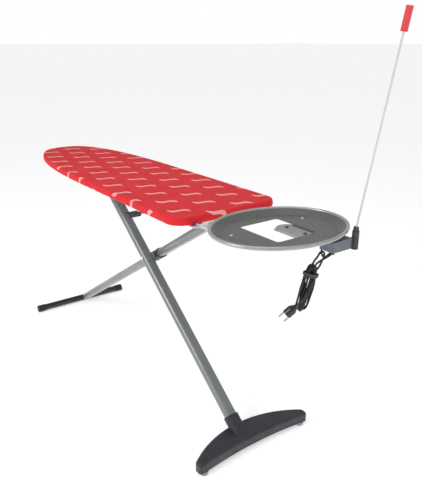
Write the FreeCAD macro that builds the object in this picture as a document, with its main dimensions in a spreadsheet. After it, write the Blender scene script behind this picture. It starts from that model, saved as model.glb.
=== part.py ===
import FreeCAD, Part
import math
import os
import re

# Folding ironing board with an iron rest, a mains socket and a cord guide.
# Millimetres. +X runs from the nose of the board to the iron rest, +Y is across, +Z is up.
# The origin lies on the floor, under the middle of the object's box.
# Lengths named "inset" are measured from the board's square end, towards the nose, and
# lengths named "reach" from the same end, outwards under the iron rest.

V = FreeCAD.Vector
doc = FreeCAD.newDocument("IroningBoard")
sizes = doc.addObject("Spreadsheet::Sheet", "Sizes")

DRIVING = [
    ("board_length", 1250, "nose tip to square end"),
    ("board_width", 375, "widest, over the cover"),
    ("board_height", 740, "floor to top of the cover"),
    ("nose_taper", 656, "length over which the nose narrows"),
    ("butt_radius", 49, "corners of the square end"),
    ("cover_thickness", 1, "cotton cover"),
    ("cover_skirt", 24, "depth of the cover's side"),
    ("hem_width", 22, "hem turned in under the deck"),
    ("pad_thickness", 5, "felt under the cover"),
    ("soft_gap", 0.3, "room between cloth and steel"),
    ("deck_sheet", 1.2, "pressed steel deck"),
    ("deck_flange", 14, "depth of the deck's turned edge"),
    ("vent_radius", 7, "steam holes in the deck"),
    ("vent_pitch", 62, "spacing of the steam holes"),
    ("vent_margin", 34, "steam holes stay this far inside the edge"),
    ("brace_inset", 44, "first cross brace"),
    ("brace_pitch", 317, "cross brace spacing"),
    ("brace_count", 4, "cross braces"),
    ("brace_length", 290, "across the board"),
    ("brace_width", 30, "along the board"),
    ("brace_depth", 10.2, "height of the brace channel"),
    ("rail_inset", 24, "end of the rails"),
    ("rail_length", 990, "along the board"),
    ("rail_gap", 124, "between the webs of the two rails"),
    ("rail_sheet", 3, "thickness of the rail web"),
    ("rail_flange", 16, "width of the rail's top flange"),
    ("rail_depth", 42, "height of the rail web"),
    ("pivot_drop", 40, "leg pivots, below the top of the cover"),
    ("slot_below", 4.5, "slot room under the roller"),
    ("slot_above", 3.2, "slot room over the roller"),
    ("slot_end_room", 3, "slot room past the roller's travel"),
    ("notch_depth", 3, "height notches above the slot"),
    ("notch_pitch", 26, "spacing of the height notches"),
    ("tube_width", 42, "leg tube, across the board"),
    ("tube_thickness", 30, "leg tube, in the plane of the fold"),
    ("tube_wall", 1.4, "leg tube wall"),
    ("cap_lid", 3, "plastic cap over the top of a leg tube"),
    ("cap_stem", 18, "its stem inside the tube"),
    ("leg_a_gap", 2, "long-slot leg's inner face, from the middle towards the near side"),
    ("leg_b_gap", 4, "hinged leg's inner face, from the middle towards the far side"),
    ("hinge_inset", 63, "hinge of leg B"),
    ("leg_b_run", 1110, "hinge of leg B to its foot, along the floor"),
    ("slide_inset", 780, "sliding pin of leg A"),
    ("leg_a_run", 849, "sliding pin of leg A to its foot, along the floor"),
    ("leg_a_foot_height", 50, "lower end of leg A above the floor"),
    ("raise_angle", 8, "leg B steepens by this up to the highest setting"),
    ("axle_radius", 6, "hinge axle of leg B"),
    ("axle_overhang", 7, "axle past the rail web"),
    ("cross_pin_radius", 5, "sliding pin of leg A"),
    ("roller_radius", 7, "nylon rollers on the sliding pin"),
    ("roller_length", 11, "nylon rollers on the sliding pin"),
    ("pin_near_reach", 21, "sliding pin past the near rail, over the keeper"),
    ("tube_top_overhang", 10, "leg tube past its upper pivot"),
    ("running_gap", 0.05, "radial clearance of a turning fit"),
    ("side_gap", 0.4, "side play between pieces that turn"),
    ("bolt_radius", 4, "bolt where the legs cross"),
    ("bolt_head_radius", 9, "domed head of that bolt"),
    ("bolt_head_height", 4, "domed head of that bolt"),
    ("nut_radius", 7.5, "nut, across its corners, halved"),
    ("nut_height", 6.5, "nut"),
    ("block_length", 62, "pivot block along leg B"),
    ("block_wall", 3.4, "pivot block round leg B"),
    ("foot_b_radius", 15.5, "rubber end caps of the rear foot bar"),
    ("foot_b_bar_radius", 14, "rear foot bar"),
    ("mouth_rise", 3, "end of the leg tube above the middle of the bar that it straddles"),
    ("foot_b_width", 428, "rear foot, end to end"),
    ("foot_b_cap_length", 34, "rubber end cap"),
    ("foot_a_width", 430, "front foot, end to end"),
    ("foot_a_front", 50, "front edge of the front foot at its middle"),
    ("foot_a_back", 133, "back edge of the front foot at its middle"),
    ("foot_a_tip", 122, "front edge of the front foot at its ends"),
    ("foot_a_heel", 150, "back edge of the front foot at its ends"),
    ("foot_a_ground", 12, "underside of the front foot"),
    ("foot_a_depth", 32, "height of the front foot moulding"),
    ("foot_a_corner", 10, "corners of the front foot in plan"),
    ("foot_a_rounding", 9, "upper edge of the front foot"),
    ("foot_pad_radius", 13, "rubber pads of the front foot"),
    ("foot_pad_spread", 386, "pad to pad"),
    ("collar_length", 34, "socket that holds leg A in the front foot"),
    ("collar_wall", 4, "socket that holds leg A in the front foot"),
    ("keeper_rod_radius", 4, "rod that the keeper turns with"),
    ("keeper_rod_side", 98, "keeper rod, from the middle of the board"),
    ("keeper_width", 12, "keeper strip"),
    ("keeper_sheet", 2, "keeper strip"),
    ("keeper_drop", 4.6, "keeper strip below the sliding pin"),
    ("keeper_end_room", 12, "keeper strip past the pin's travel"),
    ("clip_width", 14, "rod clip, along the rod"),
    ("clip_wall", 4, "rod clip round the rod"),
    ("lever_inset", 300, "release lever"),
    ("lever_width", 24, "release lever"),
    ("lever_reach", 78, "release lever, out from its rod"),
    ("lever_fall", 15, "release lever, down from its rod"),
    ("lever_sheet", 3, "release lever"),
    ("grip_length", 44, "plastic grip of the release lever"),
    ("spring_wire_radius", 0.8, "return spring"),
    ("rest_centre", 205, "reach of the iron rest's middle"),
    ("rest_length", 322, "iron rest along the board"),
    ("rest_width", 396, "iron rest across the board"),
    ("rest_rise", 8, "top of the rest's rim above the top of the cover"),
    ("rim_radius", 5, "rolled rim of the iron rest"),
    ("rest_depth", 13, "rim's middle to underside of the rest's floor"),
    ("rest_slope", 22, "width of the sloping wall inside the rim"),
    ("rest_sheet", 1.5, "rest plate"),
    ("opening_start", 122, "reach of the rest's opening"),
    ("opening_length", 150, "rest's opening along the board"),
    ("opening_width", 132, "rest's opening across the board"),
    ("opening_radius", 10, "corners of the rest's opening"),
    ("arm_spread", 250, "between the middles of the two rest arms"),
    ("arm_width", 20, "rest arm"),
    ("arm_sheet", 4, "rest arm"),
    ("arm_inset", 376, "far end of the rest arm"),
    ("arm_end_reach", 175, "near end of the rest arm"),
    ("tongue_side", 43, "socket tongue, from the middle of the board"),
    ("tongue_width", 66, "socket tongue"),
    ("tongue_sheet", 3, "socket tongue"),
    ("tongue_drop", 3.2, "gap between the rest's floor and the tongue, for the screw heads"),
    ("tongue_start", 160, "reach of the tongue's round end"),
    ("tongue_end", 334, "reach of the tongue's square end"),
    ("socket_start", 296, "reach of the socket box"),
    ("socket_length", 46, "socket box along the board"),
    ("socket_side", 56, "near side of the socket box, from the middle"),
    ("socket_width", 68, "socket box across the board"),
    ("socket_depth", 28, "socket box"),
    ("socket_wall", 2.5, "socket box wall"),
    ("holder_reach", 344, "middle of the guide rod's holder"),
    ("holder_side", 133, "middle of the guide rod's holder"),
    ("holder_radius", 9, "holder"),
    ("holder_height", 48, "holder"),
    ("stem_radius", 4.55, "turning stem of the guide rod, in its holder"),
    ("stem_length", 30, "turning stem of the guide rod"),
    ("hub_height", 11, "hub that grips the foot of the guide rod"),
    ("rod_radius", 2.5, "cord guide rod"),
    ("rod_top_reach", 431, "top of the guide rod"),
    ("rod_top_rise", 524, "top of the guide rod above the top of the cover"),
    ("rod_base_rise", 6, "foot of the guide rod above the top of the cover"),
    ("guide_grip_radius", 8, "red grip on the guide rod"),
    ("guide_grip_length", 52, "red grip on the guide rod"),
    ("spacer_wall", 3, "spacers round the hinge axle"),
    ("axle_cap_wall", 2.5, "push-on caps of the hinge axle"),
    ("axle_cap_length", 4, "push-on caps of the hinge axle"),
    ("arm_drop", 1, "top of the rest arm's low stretch, below the cover's skirt"),
    ("arm_knee", 12, "reach of the start of the rest arm's step"),
    ("arm_bend", 52, "reach of the end of the rest arm's step"),
    ("arm_bolt_radius", 5, "bolt heads under the rest arms"),
    ("arm_bolt_height", 3.2, "bolt heads under the rest arms"),
    ("rivet_radius", 5, "rivets of the rest arms"),
    ("rivet_top_radius", 3.5, "top of those rivets"),
    ("rivet_height", 2, "rivets above the rest's floor"),
    ("rivet_inset", 12, "rivets, from the near end of the arm"),
    ("post_radius", 4, "posts between the rest's floor and the tongue"),
    ("post_room", 14, "posts past the rest's opening"),
    ("screw_radius", 3, "tongue screws"),
    ("screw_head_radius", 5.5, "heads of the tongue screws"),
    ("screw_top_radius", 4, "flat top of those heads"),
    ("screw_head_height", 2.6, "heads of the tongue screws"),
    ("screw_first", 27, "first tongue screw, from the tongue's round end"),
    ("screw_second", 95, "second tongue screw, from the tongue's round end"),
    ("strap_sheet", 5, "strap under the tongue"),
    ("strap_margin", 6, "strap inside the tongue's long sides"),
    ("strap_start", 8, "strap, from the tongue's round end"),
    ("gland_reach", 37, "hole for the lead, from the near end of the socket box"),
    ("gland_side", 9, "hole for the lead, from the side of the socket box"),
    ("gland_hole_radius", 4.5, "hole for the lead in the socket box"),
    ("gland_collar_radius", 4.4, "neck of the strain relief in that hole"),
    ("gland_collar_drop", 6, "neck of the strain relief below the socket box"),
    ("gland_flange_radius", 5.2, "flange of the strain relief, inside the box"),
    ("gland_flange_height", 2, "flange of the strain relief, inside the box"),
    ("gland_straight", 7, "lead from its hole to the tapered stretch"),
    ("hook_reach", 305.5, "middle of the hook's peg"),
    ("hook_side", 56.3, "middle of the hook's peg"),
    ("hook_drop", 12.5, "hook's peg below the socket box"),
    ("hook_stem_radius", 2.6, "stem of the hook"),
    ("hook_elbow_radius", 3.1, "ball between the hook's stem and peg"),
    ("hook_peg_radius", 2.2, "peg of the hook"),
    ("hook_peg_length", 17, "peg of the hook"),
    ("hook_peg_start", 8, "start of the peg, back from its middle"),
    ("hook_knob_radius", 3.3, "ball on the end of the peg"),
    ("cord_radius", 2.6, "mains lead"),
    ("gland_length", 26, "strain relief"),
    ("hank_half_width", 22, "folded mains lead"),
    ("hank_half_depth", 13, "folded mains lead"),
    ("tie_width", 10, "tie round the folded lead"),
    ("tie_thickness", 1.4, "tie round the folded lead"),
    ("plug_radius", 13, "plug"),
    ("plug_length", 34, "plug"),
    ("plug_pin_radius", 2.2, "plug pins"),
    ("plug_pin_length", 19, "plug pins"),
    ("plug_pin_spacing", 19, "plug pins"),
]
for row, (alias, value, note) in enumerate(DRIVING, 1):
    sizes.set(f"A{row}", str(value))
    sizes.setAlias(f"A{row}", alias)
    sizes.set(f"B{row}", note)
doc.recompute()
NAMES = {alias for alias, value, note in DRIVING}


def bound(text):
    """Turn a size name, number or sum of them into an expression on the sheet."""
    return re.sub(r"[a-z][a-z_0-9]*", lambda word: qualified(word.group(0)), str(text))


def qualified(word):
    return "Sizes." + word if word in NAMES else word


def number(text):
    """The value of such an expression now, for shapes made by formula."""
    answer = sizes.evalExpression(bound(text))
    return float(getattr(answer, "Value", answer))


# ---- places that follow from the driving sizes ----
BUTT = "((board_length - rod_top_reach - guide_grip_radius) / 2)"
PIVOT_Z = "(board_height - pivot_drop)"
RISE_B = f"({PIVOT_Z} - foot_b_radius)"
RISE_A = f"({PIVOT_Z} - leg_a_foot_height)"
TILT_B = f"atan2({RISE_B}; leg_b_run)"
TILT_A = f"atan2({RISE_A}; leg_a_run)"
LENGTH_B = f"sqrt(leg_b_run * leg_b_run + {RISE_B} * {RISE_B})"
LENGTH_A = f"sqrt(leg_a_run * leg_a_run + {RISE_A} * {RISE_A})"
CROSS_B = (f"((slide_inset - hinge_inset) / (cos({TILT_B}) + sin({TILT_B})"
           f" * cos({TILT_A}) / sin({TILT_A})))")
CROSS_A = f"({CROSS_B} * sin({TILT_B}) / sin({TILT_A}))"
TRAVEL_FOLDED = f"(hinge_inset + {CROSS_A} + {CROSS_B})"
TRAVEL_RAISED = (f"(hinge_inset + {CROSS_B} * cos({TILT_B} + raise_angle * 1deg)"
                 f" + {CROSS_A} * cos({TILT_A} + raise_angle * 1deg * {TILT_A} / {TILT_B}))")
DECK_TOP = "(board_height - cover_thickness - pad_thickness)"
BRACE_TOP = f"({DECK_TOP} - deck_sheet)"
RAIL_TOP = f"({BRACE_TOP} - brace_depth)"
RIM_Z = "(board_height + rest_rise - rim_radius)"
REST_FLOOR = f"({RIM_Z} - rest_depth)"
TONGUE_Z = f"({REST_FLOOR} - tongue_drop - tongue_sheet)"
SOCKET_Z = f"({TONGUE_Z} - socket_depth)"
LEG_A_MIDDLE = "(leg_a_gap + tube_width / 2)"
LEG_B_MIDDLE = "(leg_b_gap + tube_width / 2)"
BLOCK_NEAR = "(leg_b_gap - block_wall)"
LEG_A_NEAR = "(leg_a_gap + tube_width)"
ROD_LEAN = "atan2(rod_top_reach - holder_reach; rod_top_rise - rod_base_rise)"

nodes = {}


def keep(name, piece):
    """Register a finished sub-part under its own label."""
    piece.Label = name
    nodes[name] = piece
    return piece


def place(piece, x="0", y="0", z="0", axis=None, turn="0deg"):
    """Bind a piece's place, and its turn about one axis, to the sheet."""
    where = f"create(<<vector>>; {bound(x)}; {bound(y)}; {bound(z)})"
    ax, ay, az = axis or (0, 0, 1)
    spin = f"create(<<rotation>>; create(<<vector>>; {ax}; {ay}; {az}); {bound(turn)})"
    piece.setExpression("Placement", f"create(<<placement>>; {where}; {spin})")
    return piece


def box(name, dx, dy, dz, x="0", y="0", z="0"):
    """Block centred on x and y, standing on z."""
    piece = doc.addObject("Part::Box", name)
    piece.setExpression("Length", bound(dx))
    piece.setExpression("Width", bound(dy))
    piece.setExpression("Height", bound(dz))
    return place(piece, f"({x}) - ({dx}) / 2", f"({y}) - ({dy}) / 2", z)


LIE = {"x": ((0, 1, 0), "90deg"), "y": ((1, 0, 0), "-90deg"), "z": ((0, 0, 1), "0deg")}


def rod(name, radius, length, x="0", y="0", z="0", along="z"):
    """Cylinder from a point, along one axis."""
    piece = doc.addObject("Part::Cylinder", name)
    piece.setExpression("Radius", bound(radius))
    piece.setExpression("Height", bound(length))
    axis, turn = LIE[along]
    return place(piece, x, y, z, axis, turn)


def cone(name, wide, narrow, length, x="0", y="0", z="0", along="z"):
    piece = doc.addObject("Part::Cone", name)
    piece.setExpression("Radius1", bound(wide))
    piece.setExpression("Radius2", bound(narrow))
    piece.setExpression("Height", bound(length))
    axis, turn = LIE[along]
    return place(piece, x, y, z, axis, turn)


def cut(name, base, *tools):
    """Take the tools out of the base, one after the other."""
    for count, tool in enumerate(tools, 1):
        step = doc.addObject("Part::Cut", f"{name}_cut{count}")
        step.Base = base
        step.Tool = tool
        base = step
    return base


def fuse(name, *pieces):
    joined = doc.addObject("Part::MultiFuse", f"{name}_fuse")
    joined.Shapes = list(pieces)
    joined.Refine = True
    return joined


def group(name, pieces):
    """Separate solids that share one node."""
    bundle = doc.addObject("Part::Compound", f"{name}_group")
    bundle.Links = pieces
    return bundle


def feature(name, shape):
    piece = doc.addObject("Part::Feature", f"{name}_shape")
    piece.Shape = shape
    return piece


# ---- the board: cover, felt, deck, braces, rails ----
def outline(inset, level):
    """Closed outline of the board, drawn in by an inset, at one level."""
    half = number("board_width / 2") - inset
    tip = number(f"{BUTT} - board_length") + inset
    taper = number("nose_taper") - inset
    butt = number(BUTT) - inset
    corner = number("butt_radius") - inset
    steps = 9
    nose = []
    for index in range(-steps, steps + 1):
        along = (index / steps) ** 2
        across = half * (1 - (1 - along) ** 2.32) ** (1 / 2.75)
        nose.append(V(tip + taper * along, math.copysign(across, index), level))
    curve = Part.BSplineCurve()
    curve.interpolate(Points=nose, InitialTangent=V(-1, 0, 0), FinalTangent=V(1, 0, 0))
    slant = corner * (1 - math.sqrt(0.5))
    far = Part.Arc(V(butt - corner, half, level), V(butt - slant, half - slant, level),
                   V(butt, half - corner, level))
    near = Part.Arc(V(butt, corner - half, level), V(butt - slant, slant - half, level),
                    V(butt - corner, -half, level))
    parts = [
        curve,
        Part.LineSegment(nose[-1], V(butt - corner, half, level)),
        far,
        Part.LineSegment(V(butt, half - corner, level), V(butt, corner - half, level)),
        near,
        Part.LineSegment(V(butt - corner, -half, level), nose[0]),
    ]
    return Part.Wire([part.toShape() for part in parts])


def slab(inset, low, high):
    """Board-shaped slab between two levels."""
    return Part.Face(outline(inset, low)).extrude(V(0, 0, high - low))


def cover():
    cloth = number("cover_thickness")
    top = number("board_height")
    low = number("board_height - cover_skirt")
    shell = slab(0, low, top)
    shell = shell.cut(slab(cloth, low + cloth, top - cloth))
    return shell.cut(slab(number("hem_width"), low, low + cloth))


def deck_panel():
    edge = number("cover_thickness + soft_gap")
    sheet = number("deck_sheet")
    top = number(DECK_TOP)
    tray = slab(edge, top - number("deck_flange"), top)
    tray = tray.cut(slab(edge + sheet, top - number("deck_flange"), top - sheet))
    field = Part.Face(outline(number("vent_margin"), top))
    pitch = number("vent_pitch")
    rows = int(number("board_width") / pitch)
    columns = int(number("board_length") / pitch)
    vents = []
    for column in range(columns):
        for row in range(-rows, rows + 1):
            x = number(f"{BUTT} - vent_margin") - column * pitch
            y = row * pitch + (column % 2) * pitch / 2
            if field.isInside(V(x, y, top), 0.01, True):
                start = V(x, y, top - 2 * sheet)
                vents.append(Part.makeCylinder(number("vent_radius"), 3 * sheet, start))
    return tray.cut(Part.makeCompound(vents))


keep("cover", feature("cover", cover()))
keep("felt_pad", feature("felt_pad", slab(number("cover_thickness + soft_gap"), number(DECK_TOP),
                                          number(f"{DECK_TOP} + pad_thickness"))))
keep("deck_panel", feature("deck_panel", deck_panel()))


def brace_x(index):
    return f"({BUTT} - brace_inset - {index} * brace_pitch)"


for index in range(int(number("brace_count"))):
    label = f"cross_brace_{index + 1}"
    channel = box(label + "_outer", "brace_width", "brace_length", "brace_depth",
                  brace_x(index), "0", RAIL_TOP)
    hollow = box(label + "_inner", "brace_width - 2 * deck_sheet", "brace_length + 2",
                 "brace_depth - deck_sheet", brace_x(index), "0", RAIL_TOP)
    keep(label, cut(label, channel, hollow))


def rail(name, side):
    """Steel angle with a hinge hole, a slot for the sliding pin and height notches over it."""
    web_y = f"({side} * (rail_gap / 2 + rail_sheet / 2))"
    flange_y = f"({side} * (rail_gap / 2 + rail_flange / 2))"
    middle = f"{BUTT} - rail_inset - rail_length / 2"
    web = box(name + "_web", "rail_length", "rail_sheet", "rail_depth", middle, web_y,
              f"{RAIL_TOP} - rail_depth")
    flange = box(name + "_flange", "rail_length", "rail_flange", "deck_sheet", middle, flange_y,
                 f"{RAIL_TOP} - deck_sheet")
    through = "rail_sheet + 2"
    start_y = f"{web_y} - rail_sheet / 2 - 1"
    hinge = rod(name + "_hinge", "axle_radius + running_gap", through, f"{BUTT} - hinge_inset",
                start_y, PIVOT_Z, "y")
    slot_low = f"{PIVOT_Z} - roller_radius - slot_below"
    slot_from = f"({TRAVEL_RAISED} - slot_end_room - roller_radius)"
    slot_to = f"({TRAVEL_FOLDED} + slot_end_room + roller_radius)"
    slot = box(name + "_slot", f"{slot_to} - {slot_from}", through,
               "2 * roller_radius + slot_below + slot_above",
               f"{BUTT} - ({slot_from} + {slot_to}) / 2", web_y, slot_low)
    notches = []
    count = int(number(f"({slot_to} - {slot_from}) / notch_pitch")) - 4
    for index in range(count):
        x = f"{BUTT} - {slot_from} - notch_pitch * ({index} + 1)"
        z = f"{PIVOT_Z} + notch_depth + slot_above"
        notches.append(rod(f"{name}_notch{index}", "roller_radius", through, x, start_y, z, "y"))
    keep(name, cut(name, fuse(name, web, flange), hinge, slot, *notches))


rail("rail_near", -1)
rail("rail_far", 1)


# ---- leg B: hinged at the square end, bar foot under the nose ----
def oval_block(name, width, thickness, length):
    """Solid oval bar along its own Z, flat sided, its width across Y."""
    middle = box(name + "_middle", thickness, f"({width}) - ({thickness})", length, "0", "0", "0")
    end = f"({width}) / 2 - ({thickness}) / 2"
    near = rod(name + "_near", f"({thickness}) / 2", length, "0", f"-({end})", "0", "z")
    far = rod(name + "_far", f"({thickness}) / 2", length, "0", end, "0", "z")
    return fuse(name, middle, near, far)


def leg_tube(name, bottom, holes):
    """Oval steel tube along its own Z, from above its pivot to its foot."""
    length = f"({bottom}) + tube_top_overhang"
    outer = oval_block(name + "_outer", "tube_width", "tube_thickness", length)
    inner = oval_block(name + "_inner", "tube_width - 2 * tube_wall", "tube_thickness - 2 * tube_wall",
                       length)
    bores = []
    for count, (height, radius) in enumerate(holes):
        bores.append(rod(f"{name}_hole{count}", radius, "2 * tube_width", "0", "-tube_width",
                         f"tube_top_overhang + ({height})", "y"))
    return cut(name, outer, inner, *bores)


def on_leg_b(piece, along, y=LEG_B_MIDDLE):
    """Stand a piece on leg B's line, its Z pointing down the leg from a distance along it."""
    x = f"{BUTT} - hinge_inset - ({along}) * cos({TILT_B})"
    z = f"{PIVOT_Z} - ({along}) * sin({TILT_B})"
    return place(piece, x, y, z, (0, 1, 0), f"-90deg - {TILT_B}")


def on_leg_a(piece, along, y=f"-{LEG_A_MIDDLE}"):
    x = f"{BUTT} - slide_inset + ({along}) * cos({TILT_A})"
    z = f"{PIVOT_Z} - ({along}) * sin({TILT_A})"
    return place(piece, x, y, z, (0, 1, 0), f"90deg + {TILT_A}")


def end_cap(name, seat, pin_radius, pin_inset):
    """Plastic cap that closes the open top of a leg tube, bored for the pin just below it."""
    lid = oval_block(name + "_lid", "tube_width", "tube_thickness", "cap_lid")
    stem = oval_block(name + "_stem", "tube_width - 2 * tube_wall", "tube_thickness - 2 * tube_wall",
                      "cap_stem")
    seat(lid, "-tube_top_overhang - cap_lid")
    seat(stem, "-tube_top_overhang")
    bore = rod(name + "_bore", pin_radius, "rail_gap", f"{BUTT} - {pin_inset}", "-rail_gap / 2",
               PIVOT_Z, "y")
    keep(name, cut(name, fuse(name, lid, stem), bore))


tube_b = leg_tube("leg_b_tube", f"{LENGTH_B} - mouth_rise",
                  [("0", "axle_radius"), (CROSS_B, "bolt_radius"), (LENGTH_B, "foot_b_bar_radius")])
keep("leg_b_tube", on_leg_b(tube_b, "-tube_top_overhang"))
end_cap("leg_b_cap", on_leg_b, "axle_radius", "hinge_inset")
axle_start = "-rail_gap / 2 - rail_sheet - axle_overhang"
keep("hinge_axle", rod("hinge_axle", "axle_radius", "rail_gap + 2 * rail_sheet + 2 * axle_overhang",
                       f"{BUTT} - hinge_inset", axle_start, PIVOT_Z, "y"))


def sleeve(name, outer, inner, length, x, y, z):
    """Round sleeve along Y."""
    wall = rod(name + "_wall", outer, length, x, y, z, "y")
    bore = rod(name + "_bore", inner, f"{length} + 2", x, f"{y} - 1", z, "y")
    return cut(name, wall, bore)


hinge_x = f"{BUTT} - hinge_inset"
keep("hinge_spacers", group("hinge_spacers", [
    sleeve("hinge_spacer_far", "axle_radius + spacer_wall", "axle_radius",
           "rail_gap / 2 - side_gap - leg_b_gap - tube_width",
           hinge_x, "leg_b_gap + tube_width", PIVOT_Z),
    sleeve("hinge_spacer_near", "axle_radius + spacer_wall", "axle_radius",
           "rail_gap / 2 - side_gap + leg_b_gap",
           hinge_x, "side_gap - rail_gap / 2", PIVOT_Z),
]))
cap_out = "rail_gap / 2 + rail_sheet + side_gap"
cap_outer = "axle_radius + axle_cap_wall"
keep("axle_caps", group("axle_caps", [
    sleeve("axle_cap_far", cap_outer, "axle_radius", "axle_cap_length", hinge_x, cap_out, PIVOT_Z),
    sleeve("axle_cap_near", cap_outer, "axle_radius", "axle_cap_length", hinge_x,
           f"-({cap_out}) - axle_cap_length", PIVOT_Z),
]))

block_body = on_leg_b(oval_block("pivot_block_round", "tube_width + 2 * block_wall",
                                 "tube_thickness + 2 * block_wall", "block_length"),
                      f"{CROSS_B} - block_length / 2")
block_tube = on_leg_b(oval_block("pivot_block_bore", "tube_width", "tube_thickness", "block_length + 4"),
                      f"{CROSS_B} - block_length / 2 - 2")
CROSS_X = f"({BUTT} - hinge_inset - {CROSS_B} * cos({TILT_B}))"
CROSS_Z = f"({PIVOT_Z} - {CROSS_B} * sin({TILT_B}))"
block_bolt = rod("pivot_block_bolt", "bolt_radius", "tube_width * 2", CROSS_X, "-tube_width / 2",
                 CROSS_Z, "y")
keep("pivot_block", cut("pivot_block", block_body, block_tube, block_bolt))
head_start = f"(-{LEG_A_NEAR} - side_gap)"
block_far = "(leg_b_gap + tube_width + block_wall)"
shank = rod("pivot_bolt_shank", "bolt_radius", f"{block_far} + nut_height + 2 - {head_start}",
            CROSS_X, head_start, CROSS_Z, "y")
head = cone("pivot_bolt_head", "bolt_head_radius / 2", "bolt_head_radius", "bolt_head_height",
            CROSS_X, f"{head_start} - bolt_head_height", CROSS_Z, "y")
keep("pivot_bolt", fuse("pivot_bolt", shank, head))
nut = doc.addObject("Part::Prism", "pivot_nut_blank")
nut.Polygon = 6
nut.setExpression("Circumradius", bound("nut_radius"))
nut.setExpression("Height", bound("nut_height"))
place(nut, CROSS_X, block_far, CROSS_Z, (1, 0, 0), "-90deg")
nut_bore = rod("pivot_nut_bore", "bolt_radius", "nut_height + 2", CROSS_X, f"{block_far} - 1", CROSS_Z, "y")
keep("pivot_nut", cut("pivot_nut", nut, nut_bore))
GAP_AT_CROSS = f"({BLOCK_NEAR} + leg_a_gap)"
keep("pivot_washer", sleeve("pivot_washer", "bolt_head_radius + 2", "bolt_radius",
                            f"{GAP_AT_CROSS} - side_gap", CROSS_X,
                            f"{BLOCK_NEAR} - {GAP_AT_CROSS} + side_gap", CROSS_Z))

foot_b_x = f"{BUTT} - hinge_inset - leg_b_run"
bar_length = "foot_b_width - 8"
bar = rod("foot_b_bar_outer", "foot_b_bar_radius", bar_length, foot_b_x, f"-({bar_length}) / 2",
          "foot_b_radius", "y")
bar_bore = rod("foot_b_bar_bore", "foot_b_bar_radius - tube_wall", f"{bar_length} + 2", foot_b_x,
               f"-({bar_length}) / 2 - 1", "foot_b_radius", "y")
keep("foot_b_bar", cut("foot_b_bar", bar, bar_bore))


def foot_b_cap(name, side):
    """Rubber cap over one end of the rear foot bar."""
    start = "foot_b_width / 2 - foot_b_cap_length" if side > 0 else "-foot_b_width / 2"
    wall = rod(name + "_wall", "foot_b_radius", "foot_b_cap_length", foot_b_x, start, "foot_b_radius", "y")
    full = rod(name + "_seat", "foot_b_bar_radius", bar_length, foot_b_x, f"-({bar_length}) / 2",
               "foot_b_radius", "y")
    return cut(name, wall, full)


keep("foot_b_caps", group("foot_b_caps", [foot_b_cap("foot_b_cap_near", -1),
                                          foot_b_cap("foot_b_cap_far", 1)]))

# ---- leg A: slides in the rails, moulded foot under the iron rest ----
FOOT_A_TOP = "(foot_a_ground + foot_a_depth)"
END_A = f"({LENGTH_A} + 14)"
tube_a = leg_tube("leg_a_tube", END_A,
                  [("0", "cross_pin_radius"), (CROSS_A, "bolt_radius + running_gap")])
keep("leg_a_tube", on_leg_a(tube_a, "-tube_top_overhang"))
end_cap("leg_a_cap", on_leg_a, "cross_pin_radius", "slide_inset")
pin_x = f"{BUTT} - slide_inset"
pin_start = "(-rail_gap / 2 - rail_sheet - pin_near_reach)"
pin_stop = "(rail_gap / 2 + rail_sheet + 9)"
keep("slide_pin", rod("slide_pin", "cross_pin_radius", f"{pin_stop} - {pin_start}", pin_x, pin_start,
                      PIVOT_Z, "y"))
roller_in = "rail_gap / 2 + rail_sheet / 2 - roller_length / 2"
keep("slide_rollers", group("slide_rollers", [
    sleeve("slide_roller_far", "roller_radius", "cross_pin_radius", "roller_length", pin_x, roller_in,
           PIVOT_Z),
    sleeve("slide_roller_near", "roller_radius", "cross_pin_radius", "roller_length", pin_x,
           f"-({roller_in}) - roller_length", PIVOT_Z),
]))


def foot_plan():
    """Plan of the front foot: a bowed front edge, a nearly straight back and round ends."""
    butt = number(BUTT)
    half = number("foot_a_width / 2")
    tip, heel = butt + number("foot_a_tip"), butt + number("foot_a_heel")
    front, back = butt + number("foot_a_front"), butt + number("foot_a_back")
    low = number("foot_a_ground")
    sides = [
        Part.Arc(V(tip, -half, low), V(front, 0, low), V(tip, half, low)),
        Part.LineSegment(V(tip, half, low), V(heel, half, low)),
        Part.Arc(V(heel, half, low), V(back, 0, low), V(heel, -half, low)),
        Part.LineSegment(V(heel, -half, low), V(tip, -half, low)),
    ]
    sharp = Part.Face(Part.Wire([side.toShape() for side in sides]))
    corner = number("foot_a_corner")
    return sharp.makeOffset2D(-corner, 0).makeOffset2D(corner, 0)


def foot_moulding():
    """Front foot, its upper edge rounded over."""
    blank = foot_plan().extrude(V(0, 0, number("foot_a_depth")))
    rim = [edge for edge in blank.Edges if edge.BoundBox.ZMin > number(FOOT_A_TOP) - 0.1]
    return blank.makeFillet(number("foot_a_rounding"), rim)


foot_blank = feature("foot_a", foot_moulding())
socket_hole = on_leg_a(oval_block("foot_a_hole", "tube_width", "tube_thickness",
                                  f"{END_A} - ({LENGTH_A} - 90)"), f"{LENGTH_A} - 90")
collar = on_leg_a(oval_block("foot_a_collar_outer", "tube_width + 2 * collar_wall",
                             "tube_thickness + 2 * collar_wall", "collar_length + 50"),
                  f"{LENGTH_A} - collar_length")
collar_bore = on_leg_a(oval_block("foot_a_collar_bore", "tube_width", "tube_thickness",
                                  "collar_length + 90"), f"{LENGTH_A} - collar_length - 20")
keep("foot_a", cut("foot_a", foot_blank, socket_hole))
foot_solid = feature("foot_a_copy", foot_moulding())
keep("foot_a_collar", cut("foot_a_collar", collar, collar_bore, foot_solid,
                          box("foot_a_collar_under", "400", "600", FOOT_A_TOP + " - 6", BUTT, "0", "0")))


def foot_pad(name, side):
    """Rubber pad under one end of the front foot."""
    x = f"{BUTT} + (foot_a_tip + foot_a_heel) / 2"
    return cone(name, "foot_pad_radius - 1.5", "foot_pad_radius", "foot_a_ground", x,
                f"{side} * foot_pad_spread / 2", "0")


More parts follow.
